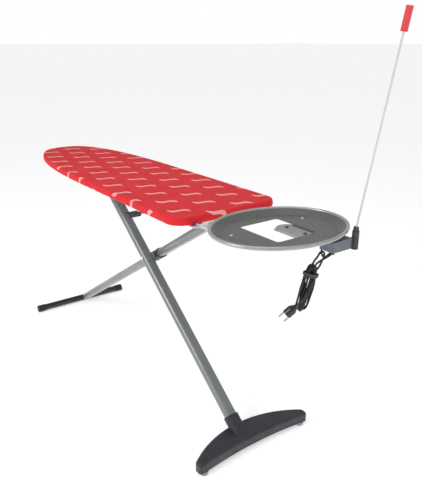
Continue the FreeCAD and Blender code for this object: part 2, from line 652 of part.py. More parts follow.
keep("foot_a_pads", group("foot_a_pads", [foot_pad("foot_a_pad_near", -1), foot_pad("foot_a_pad_far", 1)]))

# ---- keeper and release lever ----
rod_y = "(-keeper_rod_side)"
keeper_from = f"({TRAVEL_RAISED} - keeper_end_room)"
keeper_to = f"({TRAVEL_FOLDED} + keeper_end_room)"
lever_from = "(lever_inset - lever_width / 2 - 6)"
rod_far = "(brace_inset + (brace_count - 1) * brace_pitch + clip_width)"
keep("keeper_rod", rod("keeper_rod", "keeper_rod_radius", f"{rod_far} - {lever_from}",
                       f"{BUTT} - {rod_far}", rod_y, PIVOT_Z, "x"))
keeper_y = "(-rail_gap / 2 - rail_sheet - pin_near_reach + keeper_width / 2 + 2)"
strip_top = f"({PIVOT_Z} - cross_pin_radius - keeper_drop)"
strip = box("keeper_strip", f"{keeper_to} - {keeper_from}", "keeper_width", "keeper_sheet",
            f"{BUTT} - ({keeper_from} + {keeper_to}) / 2", keeper_y, f"{strip_top} - keeper_sheet")
rod_seat = rod("keeper_rod_seat", "keeper_rod_radius", f"{keeper_to} - {keeper_from} + 2",
               f"{BUTT} - {keeper_to} - 1", rod_y, PIVOT_Z, "x")
arms = []
for count, at in enumerate((f"{keeper_from} + 3", f"{keeper_to} - 3")):
    low = box(f"keeper_arm{count}", "6", f"keeper_rod_side + {keeper_y} + keeper_rod_radius", "6",
              f"{BUTT} - ({at})", f"({keeper_y} - keeper_rod_side - keeper_rod_radius) / 2",
              f"{strip_top} - keeper_sheet - 6")
    up = box(f"keeper_upright{count}", "6", "2 * keeper_rod_radius",
             f"{PIVOT_Z} - ({strip_top} - keeper_sheet - 6)", f"{BUTT} - ({at})", rod_y,
             f"{strip_top} - keeper_sheet - 6")
    arms += [low, up]
keep("keeper_bar", cut("keeper_bar", fuse("keeper_bar", strip, *arms), rod_seat))


def lever_profile():
    """Bent strip from the keeper rod out to the grip, as seen along the rod."""
    sheet = number("lever_sheet")
    root = V(0, -number("keeper_rod_side"), number(PIVOT_Z) - number("keeper_rod_radius"))
    knee = root + V(0, -number("lever_reach") / 3, -number("lever_fall"))
    end = V(0, root.y - number("lever_reach"), knee.z)
    down = V(0, 0, -sheet)
    corners = [root, knee, end, end + down, knee + down, root + down, root]
    return Part.Face(Part.makePolygon(corners))


def lever_solid():
    plate = lever_profile()
    plate.translate(V(number(f"{BUTT} - lever_inset - lever_width / 2"), 0, 0))
    lobe = Part.makeCylinder(number("keeper_rod_radius") + 2.5, number("lever_width"),
                             V(number(f"{BUTT} - lever_inset - lever_width / 2"),
                               -number("keeper_rod_side"), number(PIVOT_Z)), V(1, 0, 0))
    bore = Part.makeCylinder(number("keeper_rod_radius"), number("lever_width") + 2,
                             V(number(f"{BUTT} - lever_inset - lever_width / 2") - 1,
                               -number("keeper_rod_side"), number(PIVOT_Z)), V(1, 0, 0))
    return plate.extrude(V(number("lever_width"), 0, 0)).fuse(lobe).cut(bore)


lever_blank = feature("release_lever", lever_solid())
keep("release_lever", lever_blank)
GRIP_Y = "(-keeper_rod_side - lever_reach)"
GRIP_Z = f"({PIVOT_Z} - keeper_rod_radius - lever_fall - lever_sheet)"
grip_outer = box("lever_grip_outer", "lever_width + 6", "grip_length", "lever_sheet + 8",
                 f"{BUTT} - lever_inset", f"{GRIP_Y} + grip_length / 2 - 3", f"{GRIP_Z} - 4")
grip_copy = feature("release_lever_copy", lever_solid())
keep("lever_grip", cut("lever_grip", grip_outer, grip_copy))


def rod_clip(index):
    """Hanger under one cross brace, with a bore for the keeper rod."""
    label = f"rod_clip_{index}"
    saddle = box(label + "_block", "clip_width", "2 * keeper_rod_radius + 2 * clip_wall",
                 f"{RAIL_TOP} - {PIVOT_Z} + keeper_rod_radius + clip_wall", brace_x(index), rod_y,
                 f"{PIVOT_Z} - keeper_rod_radius - clip_wall")
    bore = rod(label + "_bore", "keeper_rod_radius + running_gap", "clip_width + 2",
               f"{brace_x(index)} - clip_width / 2 - 1", rod_y, PIVOT_Z, "x")
    return cut(label, saddle, bore)


keep("rod_clips", group("rod_clips", [rod_clip(index) for index in (1, 2, 3)]))


def return_spring():
    """Torsion spring round the keeper rod, beside the second clip."""
    wire = number("spring_wire_radius")
    coil = number("keeper_rod_radius") + wire + 0.4
    pitch = 2 * wire + 0.5
    helix = Part.makeHelix(pitch, 5 * pitch, coil)
    ring = Part.Wire(Part.makeCircle(wire, V(coil, 0, 0), V(0, 1, 0)))
    solid = Part.Wire(helix).makePipeShell([ring], True, True)
    solid.rotate(V(0, 0, 0), V(0, 1, 0), 90)
    solid.translate(V(number(f"{brace_x(2)} + clip_width / 2 + 2"), -number("keeper_rod_side"),
                      number(PIVOT_Z)))
    return solid


keep("return_spring", feature("return_spring", return_spring()))

# ---- iron rest ----
REST_X = f"({BUTT} + rest_centre)"


def oval_ring(name, inset, level):
    """Ellipse of the iron rest, drawn in by an inset. Its long side runs across the board."""
    ring = doc.addObject("Part::Ellipse", name)
    ring.setExpression("MajorRadius", bound(f"rest_width / 2 - ({inset})"))
    ring.setExpression("MinorRadius", bound(f"rest_length / 2 - ({inset})"))
    return place(ring, REST_X, "0", level, (0, 0, 1), "90deg")


def dish(name, rise, drop):
    """Solid between the ellipse inside the rim and the smaller one of the floor."""
    high = oval_ring(name + "_high", "2 * rim_radius", f"{RIM_Z} + {rise}")
    low = oval_ring(name + "_low", "2 * rim_radius + rest_slope", f"{REST_FLOOR} + {drop}")
    solid = doc.addObject("Part::Loft", name)
    solid.Sections = [low, high]
    solid.Solid = True
    solid.Ruled = True
    return solid


def rounded_opening(name, height, low):
    """Block with round corners, the shape of the rest's opening."""
    across, along, round_off = "opening_width", "opening_length", "opening_radius"
    middle = f"{BUTT} + opening_start + opening_length / 2"
    wide = box(name + "_wide", along, f"{across} - 2 * {round_off}", height, middle, "0", low)
    tall = box(name + "_tall", f"{along} - 2 * {round_off}", across, height, middle, "0", low)
    posts = []
    for end in (-1, 1):
        for side in (-1, 1):
            posts.append(rod(f"{name}_post{end + 1}{side + 1}", round_off, height,
                             f"{middle} + {end} * ({along} / 2 - {round_off})",
                             f"{side} * ({across} / 2 - {round_off})", low))
    return fuse(name, wide, tall, *posts)


plate_outer = dish("rest_plate_outer", "0", "0")
plate_inner = dish("rest_plate_inner", "0", "rest_sheet")
opening = rounded_opening("rest_opening", "4 * rest_depth", f"{REST_FLOOR} - rest_depth")
keep("rest_plate", cut("rest_plate", plate_outer, plate_inner, opening))
rim_line = oval_ring("rest_rim_line", "rim_radius", RIM_Z)
rim_face = doc.addObject("Part::Circle", "rest_rim_face")
rim_face.setExpression("Radius", bound("rim_radius"))
place(rim_face, REST_X, "rest_width / 2 - rim_radius", RIM_Z, (0, 1, 0), "90deg")
rim = doc.addObject("Part::Sweep", "rest_rim_sweep")
rim.Sections = [rim_face]
rim.Spine = (rim_line, ["Edge1"])
rim.Solid = True
rim.Frenet = True
keep("rest_rim", rim)


def rest_arm(name, side):
    """Flat bar from a cross brace out under the rest's floor, with a step up past the deck's edge."""
    sheet = number("arm_sheet")
    low = number("board_height - cover_skirt - arm_drop") - sheet
    high = number(REST_FLOOR) - sheet
    butt = number(BUTT)
    y = side * number("arm_spread / 2") - number("arm_width / 2")
    start, knee = butt - number("arm_inset"), butt + number("arm_knee")
    bend, end = butt + number("arm_bend"), butt + number("arm_end_reach")
    lower = [V(start, y, low), V(knee, y, low), V(bend, y, high), V(end, y, high)]
    upper = [V(point.x, y, point.z + sheet) for point in reversed(lower)]
    face = Part.Face(Part.makePolygon(lower + upper + [lower[0]]))
    keep(name, feature(name, face.extrude(V(0, number("arm_width"), 0))))


rest_arm("rest_arm_near", -1)
rest_arm("rest_arm_far", 1)


def arm_blocks():
    """Spacer blocks between the rest arms and the first two cross braces."""
    low = "board_height - cover_skirt - arm_drop"
    blocks = []
    for side in (-1, 1):
        for index in (0, 1):
            blocks.append(box(f"arm_block{side + 1}{index}", "brace_width - 6", "arm_width",
                              f"{RAIL_TOP} - ({low})", brace_x(index), f"{side} * arm_spread / 2", low))
    return blocks


keep("arm_spacers", group("arm_spacers", arm_blocks()))
bolt_heads = []
for side in (-1, 1):
    for index in (0, 1):
        bolt_heads.append(rod(f"arm_bolt{side + 1}{index}", "arm_bolt_radius", "arm_bolt_height",
                              brace_x(index), f"{side} * arm_spread / 2",
                              "board_height - cover_skirt - arm_drop - arm_sheet - arm_bolt_height"))
keep("arm_bolts", group("arm_bolts", bolt_heads))
rivets = []
for side in (-1, 1):
    rivets.append(cone(f"rest_rivet{side + 1}", "rivet_radius", "rivet_top_radius", "rivet_height",
                       f"{BUTT} + arm_end_reach - rivet_inset", f"{side} * arm_spread / 2",
                       f"{REST_FLOOR} + rest_sheet"))
for side in (-1, 1):
    rivets.append(rod(f"tongue_post{side + 1}", "post_radius", "tongue_drop",
                      f"{BUTT} + opening_start + opening_length + post_room",
                      f"tongue_side + {side} * tongue_width / 4", f"{REST_FLOOR} - tongue_drop"))
keep("rest_rivets", group("rest_rivets", rivets))

# ---- socket box on its tongue ----
tongue_flat = box("tongue_flat", "tongue_end - tongue_start - tongue_width / 2", "tongue_width",
                  "tongue_sheet", f"{BUTT} + (tongue_start + tongue_width / 2 + tongue_end) / 2",
                  "tongue_side", TONGUE_Z)
tongue_round = rod("tongue_round", "tongue_width / 2", "tongue_sheet",
                   f"{BUTT} + tongue_start + tongue_width / 2", "tongue_side", TONGUE_Z)
screw_x = [f"({BUTT} + tongue_start + screw_first)", f"({BUTT} + tongue_start + screw_second)"]
screw_holes = [rod(f"tongue_hole{count}", "screw_radius", "tongue_sheet + 2", x, "tongue_side",
                   f"{TONGUE_Z} - 1")
               for count, x in enumerate(screw_x)]
keep("socket_tongue", cut("socket_tongue", fuse("socket_tongue", tongue_flat, tongue_round),
                          *screw_holes))
screws = []
for count, x in enumerate(screw_x):
    shaft = rod(f"tongue_screw{count}_shaft", "screw_radius", "tongue_sheet + strap_sheet", x,
                "tongue_side", f"{TONGUE_Z} - strap_sheet")
    top = cone(f"tongue_screw{count}_head", "screw_head_radius", "screw_top_radius", "screw_head_height",
               x, "tongue_side", f"{TONGUE_Z} + tongue_sheet")
    screws.append(fuse(f"tongue_screw{count}", shaft, top))
keep("tongue_screws", group("tongue_screws", screws))
strap_from = "tongue_start + strap_start"
strap = box("socket_strap_bar", f"socket_start - ({strap_from})", "tongue_width - 2 * strap_margin",
            "strap_sheet", f"{BUTT} + (socket_start + {strap_from}) / 2", "tongue_side",
            f"{TONGUE_Z} - strap_sheet")
strap_holes = [rod(f"strap_hole{count}", "screw_radius", "3 * strap_sheet", x, "tongue_side",
                   f"{TONGUE_Z} - 2 * strap_sheet")
               for count, x in enumerate(screw_x)]
keep("socket_strap", cut("socket_strap", strap, *strap_holes))
SOCKET_X = f"({BUTT} + socket_start + socket_length / 2)"
SOCKET_Y = "(socket_side + socket_width / 2)"
shell = box("socket_box_outer", "socket_length", "socket_width", "socket_depth", SOCKET_X, SOCKET_Y,
            SOCKET_Z)
room = box("socket_box_room", "socket_length - 2 * socket_wall", "socket_width - 2 * socket_wall",
           "socket_depth", SOCKET_X, SOCKET_Y, f"{SOCKET_Z} + socket_wall")
GLAND_X = f"({BUTT} + socket_start + gland_reach)"
GLAND_Y = "(socket_side + gland_side)"
gland_hole = rod("socket_box_gland_hole", "gland_hole_radius", "socket_wall * 4", GLAND_X, GLAND_Y,
                 f"{SOCKET_Z} - socket_wall")
keep("socket_box", cut("socket_box", shell, room, gland_hole))
lid_z = f"({SOCKET_Z} + socket_depth - 2 * socket_wall)"
lid = box("socket_lid_plate", "socket_length - 2 * socket_wall", "socket_width - 2 * socket_wall",
          "2 * socket_wall", SOCKET_X, SOCKET_Y, lid_z)
OUTLET_Y = "(socket_side + socket_width - 20)"
keep("socket_lid", cut("socket_lid", lid, box("socket_lid_notch", "200", "tongue_width + 0.6",
                                              "tongue_sheet + 9", f"{SOCKET_X}", "tongue_side",
                                              f"{TONGUE_Z} - 0.1")))
contacts = []
for side in (-1, 1):
    contacts.append(box(f"contact{side + 1}", "8", "12", "10", f"{SOCKET_X} + {side} * 9.5", OUTLET_Y,
                        f"{SOCKET_Z} + socket_wall"))
keep("socket_contacts", group("socket_contacts", contacts))

# ---- cord guide: holder, rod, grip ----
HOLDER_X = f"({BUTT} + holder_reach)"
HOLDER_FOOT = f"({SOCKET_Z} - 2)"
HOLDER_TOP = f"({HOLDER_FOOT} + holder_height)"
holder_post = rod("rod_holder_post", "holder_radius", "holder_height", HOLDER_X, "holder_side", HOLDER_FOOT)
holder_web = box("rod_holder_web", "2 * holder_radius - 6", "holder_side - socket_side - socket_width",
                 "socket_depth", HOLDER_X + " - 3",
                 "(holder_side + socket_side + socket_width) / 2", SOCKET_Z)
holder_bore = rod("rod_holder_bore", "stem_radius + running_gap", "stem_length + 1", HOLDER_X,
                  "holder_side", f"{HOLDER_TOP} - stem_length + side_gap")
box_edge = box("rod_holder_edge", "socket_length", "socket_width", "socket_depth", SOCKET_X, SOCKET_Y,
               SOCKET_Z)
keep("rod_holder", cut("rod_holder", fuse("rod_holder", holder_post, holder_web), holder_bore, box_edge))
stem = rod("guide_swivel_stem", "stem_radius", "stem_length - side_gap", HOLDER_X, "holder_side",
           f"{HOLDER_TOP} - stem_length + 2 * side_gap")
hub = cone("guide_swivel_hub", "holder_radius - 1", "holder_radius - 3", "hub_height", HOLDER_X,
           "holder_side", f"{HOLDER_TOP} + side_gap")


def leaning(piece, along):
    """Stand a piece on the guide rod's line, at a distance up it from its foot."""
    x = f"{HOLDER_X} + ({along}) * sin({ROD_LEAN})"
    z = f"board_height + rod_base_rise + ({along}) * cos({ROD_LEAN})"
    return place(piece, x, "holder_side", z, (0, 1, 0), ROD_LEAN)


ROD_LENGTH = "sqrt((rod_top_reach - holder_reach) * (rod_top_reach - holder_reach)" \
             " + (rod_top_rise - rod_base_rise) * (rod_top_rise - rod_base_rise))"
steel_rod = leaning(rod("guide_rod_blank", "rod_radius", f"{ROD_LENGTH} - 4"), "0")
swivel = fuse("guide_swivel", stem, hub)
rod_copy = leaning(rod("guide_rod_copy", "rod_radius", f"{ROD_LENGTH} - 4"), "0")
keep("guide_swivel", cut("guide_swivel", swivel, rod_copy))
keep("guide_rod", steel_rod)
grip_shape = leaning(rod("guide_grip_outer", "guide_grip_radius", "guide_grip_length"),
                     f"{ROD_LENGTH} - guide_grip_length")
grip_bore = leaning(rod("guide_grip_bore", "rod_radius", f"{ROD_LENGTH} - 4"), "0")
keep("guide_grip", cut("guide_grip", grip_shape, grip_bore))

# ---- mains lead, folded in a hank that hangs from a hook under the socket box ----
# Points are reach past the square end, distance across and height, chosen by hand.
LEAD = [(333, 65, 696), (324, 53, 683), (314, 42, 671), (304, 38, 661), (297, 41, 648)]
LOOP = [(287, 37, 646), (293, 42, 664), (300, 49, 679), (302.3, 51.9, 690), (308.7, 60.7, 691),
        (308.5, 62, 678), (304.5, 58, 662), (299, 54, 644)]
TAIL = [(292, -11, 553), (302, 2, 570), (307, 16, 593), (300, 26, 615), (289, 35, 628)]
HANK_TOP, HANK_END = (292, 44, 659), (276, 18, 523)
ACROSS = V(0.588, 0.809, 0)


def spot(point):
    """A point of the lead, in the object's frame."""
    return V(number(BUTT) + point[0], point[1], point[2])


def cord_tube(name, route):
    """Round tube along straight runs joined by tangent arcs, as large as the runs allow."""
    corners = [spot(point) for point in route]
    edges, radii, start = [], [], corners[0]
    for before, corner, after in zip(corners, corners[1:], corners[2:]):
        back, ahead = before - corner, after - corner
        shorter = 0.45 * min(back.Length, ahead.Length)
        half_turn = (math.pi - back.getAngle(ahead)) / 2
        radius = shorter / math.tan(half_turn)
        back.normalize()
        ahead.normalize()
        middle = back + ahead
        middle.normalize()
        enter, leave = corner + back * shorter, corner + ahead * shorter
        crown = corner + middle * (radius / math.cos(half_turn) - radius)
        edges.append(Part.LineSegment(start, enter).toShape())
        edges.append(Part.Arc(enter, crown, leave).toShape())
        radii.append(round(radius, 1))
        start = leave
    edges.append(Part.LineSegment(start, corners[-1]).toShape())
    path = Part.Wire(edges)
    heading = corners[1] - corners[0]
    ring = Part.Wire(Part.makeCircle(number("cord_radius"), corners[0], heading))
    tube = path.makePipeShell([ring], True, False)
    true_volume = math.pi * number("cord_radius") ** 2 * path.Length
    print(name, "length", round(path.Length, 1), "radii", radii,
          "volume ratio", round(tube.Volume / true_volume, 4))
    return tube


def hank_section(share, half_width, half_depth):
    """Oval section of the hank at a share of its length."""
    top, end = spot(HANK_TOP), spot(HANK_END)
    line = end - top
    centre = top + line * share
    line.normalize()
    across = ACROSS - line * ACROSS.dot(line)
    across.normalize()
    depth = line.cross(across)
    oval = Part.Ellipse(centre + across * half_width, centre + depth * half_depth, centre)
    return Part.Wire(oval.toShape())


def hank_shape(grow=0.0):
    wide, deep = number("hank_half_width") + grow, number("hank_half_depth") + grow
    waist = [(0, 0.72), (0.08, 0.92), (0.15, 0.86), (0.3, 1), (0.55, 0.95), (0.7, 0.9), (0.9, 0.98),
             (1, 0.66)]
    return Part.makeLoft([hank_section(share, wide * scale, deep * scale) for share, scale in waist],
                         True, False)


hank = hank_shape()
print("hank valid", hank.isValid(), "volume", round(hank.Volume))
keep("cord_hank", feature("cord_hank", hank))


def hank_tie():
    """Band round the hank, a little below its top."""
    tie_from, tie_to = 0.2, 0.2 + number("tie_width") / (spot(HANK_END) - spot(HANK_TOP)).Length
    wide = 0.88 * number("hank_half_width") + number("tie_thickness")
    deep = 0.88 * number("hank_half_depth") + number("tie_thickness")
    band = Part.makeLoft([hank_section(tie_from, wide, deep), hank_section(tie_to, wide, deep)], True, False)
    return band.cut(hank)


keep("hank_tie", feature("hank_tie", hank_tie()))
for label, route in (("cord_lead", LEAD), ("cord_loop", LOOP), ("cord_tail", TAIL)):
    run = cord_tube(label, route).cut(hank)
    run = max(run.Solids, key=lambda solid: solid.Volume) if label != "cord_loop" else run
    nodes[label] = feature(label, run)
    nodes[label].Label = label


def along_line(start, end, wide, narrow, length):
    """Tapered round piece from a point towards another."""
    heading = end - start
    return Part.makeCone(wide, narrow, length, start, heading)


def cord_gland():
    """Tapered rubber strain relief round the first stretch of the lead, with a flange in the box."""
    start, end = spot(LEAD[0]), spot(LEAD[1])
    heading = end - start
    heading.normalize()
    straight = number("gland_straight")
    taper = along_line(start + heading * straight, end + heading * straight, number("cord_radius") + 2,
                       number("cord_radius") + 0.7, number("gland_length") - straight)
    under = number(SOCKET_Z)
    box_floor = under + number("socket_wall")
    drop = number("gland_collar_drop")
    collar = Part.makeCylinder(number("gland_collar_radius"), box_floor - under + drop,
                               V(start.x, start.y, under - drop))
    flange = Part.makeCylinder(number("gland_flange_radius"), number("gland_flange_height"),
                               V(start.x, start.y, box_floor))
    room = Part.makeCylinder(number("cord_radius"), 2 * number("gland_length") + 8, start, heading)
    return taper.fuse([collar, flange]).cut(room)


keep("cord_gland", feature("cord_gland", cord_gland()))


def cord_hook():
    """Plastic hook under the socket box that the folded lead hangs from."""
    drop = number("hook_drop")
    middle = V(number(BUTT) + number("hook_reach"), number("hook_side"), number(SOCKET_Z) - drop)
    across = V(0.809, -0.588, 0)
    peg_length = number("hook_peg_length")
    peg_start = middle - across * number("hook_peg_start")
    peg_end = peg_start + across * peg_length
    stem = Part.makeCylinder(number("hook_stem_radius"), drop, peg_start)
    elbow = Part.makeSphere(number("hook_elbow_radius"), peg_start)
    peg = Part.makeCylinder(number("hook_peg_radius"), peg_length, peg_start, across)
    knob = Part.makeSphere(number("hook_knob_radius"), peg_end)
    return peg.fuse([stem, elbow, knob])


keep("cord_hook", feature("cord_hook", cord_hook()))


def plug_line():
    start = spot(TAIL[0])
    heading = spot(TAIL[0]) - spot(TAIL[1])
    heading.normalize()
    return start, heading


def plug_body():
    """Round plug: boot, tapered shoulder and straight front."""
    start, heading = plug_line()
    length, radius = number("plug_length"), number("plug_radius")
    shoulder = Part.makeCone(number("cord_radius") + 2, radius, length * 0.45, start, heading)
    front = Part.makeCylinder(radius, length * 0.55, start + heading * (length * 0.45), heading)
    return shoulder.fuse(front).removeSplitter()


def plug_pins():
    start, heading = plug_line()
    across = ACROSS - heading * ACROSS.dot(heading)
    across.normalize()
    face = start + heading * number("plug_length")
    pins = []
    for side in (-1, 1):
        foot = face + across * (side * number("plug_pin_spacing / 2"))
        pins.append(Part.makeCylinder(number("plug_pin_radius"), number("plug_pin_length"), foot, heading))
    return Part.makeCompound(pins)


keep("plug_body", feature("plug_body", plug_body()))
keep("plug_pins", feature("plug_pins", plug_pins()))

# ---- check every object, then write one file per sub-part ----
doc.recompute()
for item in doc.Objects:
    if "Invalid" in item.State or "Error" in item.State:
        raise RuntimeError(f"{item.Name} failed: {item.State}")
for name, piece in nodes.items():
    if piece.Shape.isNull() or not piece.Shape.isValid():
        raise RuntimeError(f"{name} has no valid shape")
os.makedirs("parts", exist_ok=True)
for name, piece in nodes.items():
    piece.Shape.exportStep(f"parts/{name}.step")
print(len(nodes), "sub-parts")
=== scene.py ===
# %% [markdown]
# # A folding ironing board
# The metalwork and the moulded parts come from the CAD model, which is loaded first and never moved.
# This lesson gives them their finishes, and models what metalwork can't give: the printed cover,
# the felt under it and the folded mains lead. All lengths are in metres.

# %% Load the frame
import math

import bpy
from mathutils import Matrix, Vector, noise


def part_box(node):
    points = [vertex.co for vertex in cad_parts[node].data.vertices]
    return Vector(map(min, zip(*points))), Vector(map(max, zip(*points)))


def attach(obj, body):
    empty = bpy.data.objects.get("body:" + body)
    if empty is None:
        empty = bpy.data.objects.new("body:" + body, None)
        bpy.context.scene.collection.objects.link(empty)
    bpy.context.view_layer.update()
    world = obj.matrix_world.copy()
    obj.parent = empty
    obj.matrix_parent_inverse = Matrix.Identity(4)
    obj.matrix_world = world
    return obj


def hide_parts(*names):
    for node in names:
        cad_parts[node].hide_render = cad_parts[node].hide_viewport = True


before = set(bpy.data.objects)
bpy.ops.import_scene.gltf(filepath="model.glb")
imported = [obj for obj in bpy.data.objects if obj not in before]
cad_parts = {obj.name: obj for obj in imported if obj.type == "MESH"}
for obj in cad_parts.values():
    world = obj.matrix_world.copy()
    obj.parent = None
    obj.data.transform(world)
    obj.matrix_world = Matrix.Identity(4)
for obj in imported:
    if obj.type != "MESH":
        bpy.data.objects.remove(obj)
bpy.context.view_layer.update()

# %% [markdown]
# The camera stands a little higher than the board, on the near right, and looks down about 20 degrees.
# The board's square end then fills the right of the view, and the nose runs away to the left.

# %% Camera
camera_data = bpy.data.cameras.new("camera")
camera_data.lens = 41.6
camera_data.sensor_width = 36
camera = bpy.data.objects.new("camera", camera_data)
camera.location = (1.6255, -0.957, 1.192)
camera.rotation_euler = (math.radians(90 - 19.74), 0, math.radians(53.98))
bpy.context.scene.collection.objects.link(camera)
bpy.context.scene.camera = camera

# %% [markdown]
# ## The mains lead
# A lead is one fixed length of round cable. Here it leaves the socket box through a rubber strain
# relief, is folded into a hank, passes once over a hook and ends in its plug. One NURBS curve with a
# round bevel holds all of it. The places where it hangs free are points given one by one, and the turns
# of the hank come from a loop, because they repeat.

# %% Places along the lead
# The points are reach past the board's square end, distance across, and height, in millimetres.
BUTT = 0.4055
LEAD = [(333, 65, 696), (324, 53, 683), (314, 42, 671), (304, 38, 661), (297, 41, 648)]
LOOP = [(287, 37, 646), (293, 42, 664), (300, 49, 679), (302.3, 51.9, 690), (308.7, 60.7, 691),
        (308.5, 62, 678), (304.5, 58, 662), (299, 54, 644)]
TAIL = [(307, 16, 593), (302, 2, 570), (292, -11, 553)]
HANK_TOP, HANK_END = (292, 44, 659), (276, 18, 523)
ACROSS = Vector((0.588, 0.809, 0))
WAIST = [(0, 0.72), (0.08, 0.92), (0.2, 0.82), (0.33, 1), (0.55, 0.95), (0.7, 0.86), (0.9, 1), (1, 0.8)]
HANK_HALF_WIDTH, HANK_HALF_DEPTH = 0.0188, 0.0100
HANK_TWIST = math.radians(75)
CORD_RADIUS = 0.0026


def spot(point):
    """A point of the lead, in the object's frame, in metres."""
    return Vector((BUTT + point[0] / 1000, point[1] / 1000, point[2] / 1000))


# %% Turns of the hank
def waist(share):
    """How wide the hank is at a share of its length, drawn in where the tie holds it."""
    for (low, narrow), (high, wide) in zip(WAIST, WAIST[1:]):
        if share <= high:
            return narrow + (wide - narrow) * (share - low) / (high - low)
    return WAIST[-1][1]


def hank_turn(depth, half_width, first, last, begin=0.06, finish=0.94, steps=16):
    """One long turn of the hank, as points from one share of the turn to another.

    The depth and half width are shares of the hank's own. The whole hank is twisted a little, so the
    two coordinates are turned before they are scaled to its oval section.
    """
    top, end = spot(HANK_TOP), spot(HANK_END)
    line = end - top
    down = line.normalized()
    across = (ACROSS - down * ACROSS.dot(down)).normalized()
    inward = down.cross(across)
    points = []
    for index in range(round(first * steps), round(last * steps) + 1):
        angle = 2 * math.pi * index / steps
        share = (begin + finish) / 2 - (finish - begin) / 2 * math.cos(angle)
        side = half_width * math.copysign(abs(math.sin(angle)) ** 0.6, math.sin(angle))
        turned = HANK_TWIST * (share - 0.25)
        wide = side * math.cos(turned) - depth * math.sin(turned)
        deep = side * math.sin(turned) + depth * math.cos(turned)
        points.append(top + line * share + across * (wide * HANK_HALF_WIDTH * waist(share))
                      + inward * (deep * HANK_HALF_DEPTH * waist(share)))
    return points


route = [spot(point) for point in LEAD]
route += hank_turn(0.72, 0.60, 2 / 16, 1)
route += hank_turn(0.46, 0.78, 1 / 16, 1, 0.03, 0.97)
route += hank_turn(0.20, 0.20, 1 / 16, 14 / 16, 0.09, 0.90)
route += [spot(point) for point in LOOP]
route += hank_turn(0.0, 0.60, 2 / 16, 1, 0.02, 1.0)
route += hank_turn(-0.24, 0.20, 1 / 16, 1, 0.09, 0.90)
route += hank_turn(-0.48, 0.86, 1 / 16, 1, 0.04, 0.96)
route += hank_turn(-0.74, 0.60, 1 / 16, 18 / 16, 0.07, 0.92)
route += [spot(point) for point in TAIL]

# %% Make the curve
lead_curve = bpy.data.curves.new("mains_lead", "CURVE")
lead_curve.dimensions = "3D"
lead_line = lead_curve.splines.new("NURBS")
lead_line.points.add(len(route) - 1)
for control, place in zip(lead_line.points, route):
    control.co = (*place, 1)
    control.radius = CORD_RADIUS
lead_line.order_u = 3
lead_line.use_endpoint_u = True
lead_curve.resolution_u = 5
lead_curve.bevel_depth = 1
lead_curve.bevel_resolution = 4
lead_curve.use_fill_caps = True
mains_lead = bpy.data.objects.new("mains_lead", lead_curve)
bpy.context.scene.collection.objects.link(mains_lead)
print("the lead has", len(route), "points and is", round(lead_line.calc_length(), 3), "m long")
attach(mains_lead, "board")
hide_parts("cord_lead", "cord_loop", "cord_tail", "cord_hank")

# %% [markdown]
# ## Light and floor
# Large soft lamps stand for studio umbrellas: the key on the left of the camera, a weaker fill on the
# right and one overhead. The surroundings look white to the camera but light the object at half
# strength, and the wide pale floor gives off a little light of its own, so it stays nearly white.

# %% Lamps and floor
AMBIENT = 0.5
FLOOR_SIDE, FLOOR_GLOW = 600, 0.46


def lamp(name, place, aim, size, power):
    """A square area lamp at a place, turned towards an aim."""
    data = bpy.data.lights.new(name, "AREA")
    data.size = size
    data.energy = power
    piece = bpy.data.objects.new(name, data)
    piece.location = place
    piece.rotation_euler = (Vector(aim) - Vector(place)).to_track_quat("-Z", "Y").to_euler()
    bpy.context.scene.collection.objects.link(piece)


lamp("key", (0.1, -2.6, 2.3), (0, 0, 0.5), 1.3, 34)
lamp("fill", (3.0, 0.9, 1.6), (0, 0, 0.5), 2.0, 7)
lamp("overhead", (0.6, -0.2, 3.0), (0.2, 0, 0.5), 1.8, 12)

world = bpy.data.worlds.new("studio")
world.use_nodes = True
backdrop = world.node_tree.nodes["Background"]
seen = world.node_tree.nodes.new("ShaderNodeLightPath")
strength = world.node_tree.nodes.new("ShaderNodeMapRange")
strength.inputs["To Min"].default_value = AMBIENT
strength.inputs["To Max"].default_value = 1.0
world.node_tree.links.new(seen.outputs["Is Camera Ray"], strength.inputs["Value"])
world.node_tree.links.new(strength.outputs[0], backdrop.inputs["Strength"])
backdrop.inputs["Color"].default_value = (1, 1, 1, 1)
bpy.context.scene.world = world
bpy.context.scene.view_settings.view_transform = "Standard"

bpy.ops.object.select_all(action="DESELECT")
bpy.ops.mesh.primitive_plane_add(size=FLOOR_SIDE, location=(0, 0, 0))
floor = bpy.context.object
floor.name = "studio_floor"
pale = bpy.data.materials.new("studio floor")
pale.use_nodes = True
paper = pale.node_tree.nodes["Principled BSDF"]
paper.inputs["Base Color"].default_value = (0.9, 0.9, 0.9, 1)
paper.inputs["Roughness"].default_value = 0.9
paper.inputs["Specular IOR Level"].default_value = 0.1
paper.inputs["Emission Color"].default_value = (1, 1, 1, 1)
paper.inputs["Emission Strength"].default_value = FLOOR_GLOW
floor.data.materials.append(pale)

# %% [markdown]
# ## Shared shader groups
# Three effects are used by many finishes, so each is a node group with named inputs: *mottle* mixes
# two tones by noise and varies the roughness with them, *grain* gives a fine bump, and *wear* lightens
# the paint in small scratched patches. A material places a group and sets its own values.

# %% Group helper
def new_group(name, inputs, outputs):
    """A shader node group with its sockets; returns the tree and its two end nodes."""
    tree = bpy.data.node_groups.new(name, "ShaderNodeTree")
    for label, kind, value in inputs:
        socket = tree.interface.new_socket(label, in_out="INPUT", socket_type=kind)
        if value is not None:
            socket.default_value = value
    for label, kind in outputs:
        tree.interface.new_socket(label, in_out="OUTPUT", socket_type=kind)
    return tree, tree.nodes.new("NodeGroupInput"), tree.nodes.new("NodeGroupOutput")


